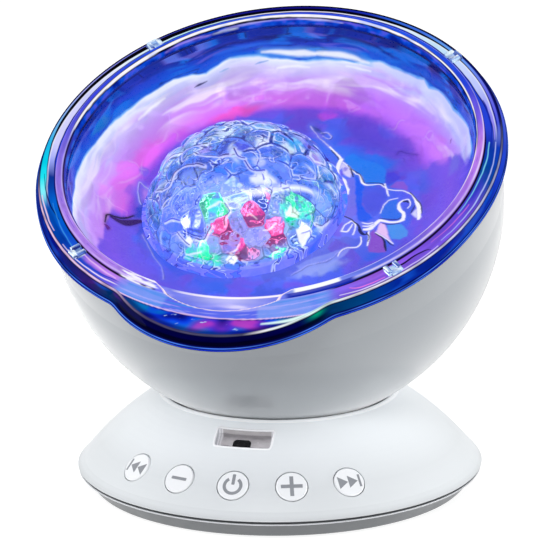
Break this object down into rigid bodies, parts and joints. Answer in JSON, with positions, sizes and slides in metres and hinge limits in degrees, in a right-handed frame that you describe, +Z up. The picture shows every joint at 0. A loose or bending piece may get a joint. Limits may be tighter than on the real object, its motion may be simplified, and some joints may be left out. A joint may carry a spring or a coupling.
{
  "type": "ocean wave projector",
  "caption": "Night light that projects moving water ripples: a bowl-shaped lamp head with a clear cover tilts on a flared base with a speaker and press buttons.",
  "frame": {"origin": "on the base's axis at the level of the feet", "axes": "+Z up, -Y to the front where the buttons are, +X to the right seen from the front"},
  "size_m": [0.1268, 0.1284, 0.1215],
  "materials": {
    "shell_white": "satin gloss moulded ABS",
    "cover_blue": "clear polished polycarbonate, glowing blue from the LEDs",
    "clip_clear": "clear moulded",
    "reflector": "glossy white reflector, lit by the LEDs",
    "frame_white": "matt moulded",
    "steel": "plated",
    "led_board": "white solder mask",
    "led_red": "clear epoxy, lit red",
    "led_green": "clear epoxy, lit green",
    "led_white": "clear epoxy, lit cool white",
    "motor_steel": "zinc plated can",
    "washer_plastic": "natural acetal",
    "brass": "turned",
    "black_plastic": "matt moulded",
    "lens_clear": "clear hammered polystyrene",
    "gear_plastic": "natural acetal",
    "shell_grey": "matt grey moulded ABS",
    "rubber": "matt",
    "pcb": "green solder mask",
    "speaker_metal": "black coated",
    "speaker_cone": "coated paper",
    "smoke_window": "grey translucent",
    "pocket_grey": "matt moulded",
    "button_white": "satin gloss moulded ABS with grey printed symbols"
  },
  "bodies": {
    "base": {"base_upper": "shell_white", "socket_dish": "frame_white", "socket_screws": "steel", "base_lower": "shell_grey", "base_screws": "steel", "rubber_feet": "rubber", "main_board": "pcb", "board_chips": "black_plastic", "board_screws": "steel", "usb_socket": "steel", "aux_jack": "black_plastic", "card_slot": "steel", "speaker_basket": "speaker_metal", "speaker_magnet": "steel", "speaker_cone": "speaker_cone", "key_bracket": "frame_white", "key_switches": "black_plastic", "ir_window": "smoke_window", "ir_pocket": "pocket_grey", "ir_receiver": "black_plastic"},
    "head": {"bowl_shell": "shell_white", "clear_cover": "cover_blue", "cover_clips": "clip_clear", "reflector_liner": "reflector", "inner_frame": "frame_white", "frame_screws": "steel", "led_board": "led_board", "leds_red": "led_red", "leds_green": "led_green", "leds_white": "led_white", "lens_motor": "motor_steel", "motor_screws": "steel", "thrust_washer": "washer_plastic", "pivot_tube": "brass", "friction_shoe": "black_plastic", "wave_washer": "steel", "pivot_nut": "brass"},
    "lens": {"lens_dome": "lens_clear", "lens_gear": "gear_plastic"},
    "pinion": {"motor_pinion": "gear_plastic", "motor_shaft": "steel"},
    "button_previous": {"button_previous": "button_white"},
    "button_volume_down": {"button_volume_down": "button_white"},
    "button_power": {"button_power": "button_white"},
    "button_volume_up": {"button_volume_up": "button_white"},
    "button_next": {"button_next": "button_white"}
  },
  "joints": [
    {"name": "head_tilt", "type": "hinge", "parent": "base", "child": "head", "pos_m": [0, 0, 0.078], "axis": [1, 0, 0], "range_deg": [-29, 16]},
    {"name": "lens_spin", "type": "hinge", "parent": "head", "child": "lens", "pos_m": [-0.01, 0.00131, 0.07873], "axis": [0, -0.4848, 0.8746], "continuous": true},
    {"name": "pinion_spin", "type": "hinge", "parent": "head", "child": "pinion", "pos_m": [0.0248, 0.00131, 0.07873], "axis": [0, -0.4848, 0.8746], "continuous": true},
    {"name": "previous_press", "type": "slide", "parent": "base", "child": "button_previous", "axis": [0.4264, 0.5741, -0.699], "range_m": [0, 0.0005], "stiffness_N_per_m": 400, "springref_m": -0.001},
    {"name": "volume_down_press", "type": "slide", "parent": "base", "child": "button_volume_down", "axis": [0.2245, 0.6789, -0.699], "range_m": [0, 0.0005], "stiffness_N_per_m": 400, "springref_m": -0.001},
    {"name": "power_press", "type": "slide", "parent": "base", "child": "button_power", "axis": [0, 0.7151, -0.699], "range_m": [0, 0.0005], "stiffness_N_per_m": 400, "springref_m": -0.001},
    {"name": "volume_up_press", "type": "slide", "parent": "base", "child": "button_volume_up", "axis": [-0.2245, 0.6789, -0.699], "range_m": [0, 0.0005], "stiffness_N_per_m": 400, "springref_m": -0.001},
    {"name": "next_press", "type": "slide", "parent": "base", "child": "button_next", "axis": [-0.4264, 0.5741, -0.699], "range_m": [0, 0.0005], "stiffness_N_per_m": 400, "springref_m": -0.001}
  ],
  "couplings": [
    {"joint": "pinion_spin", "follows": "lens_spin", "ratio": -4.8}
  ]
}
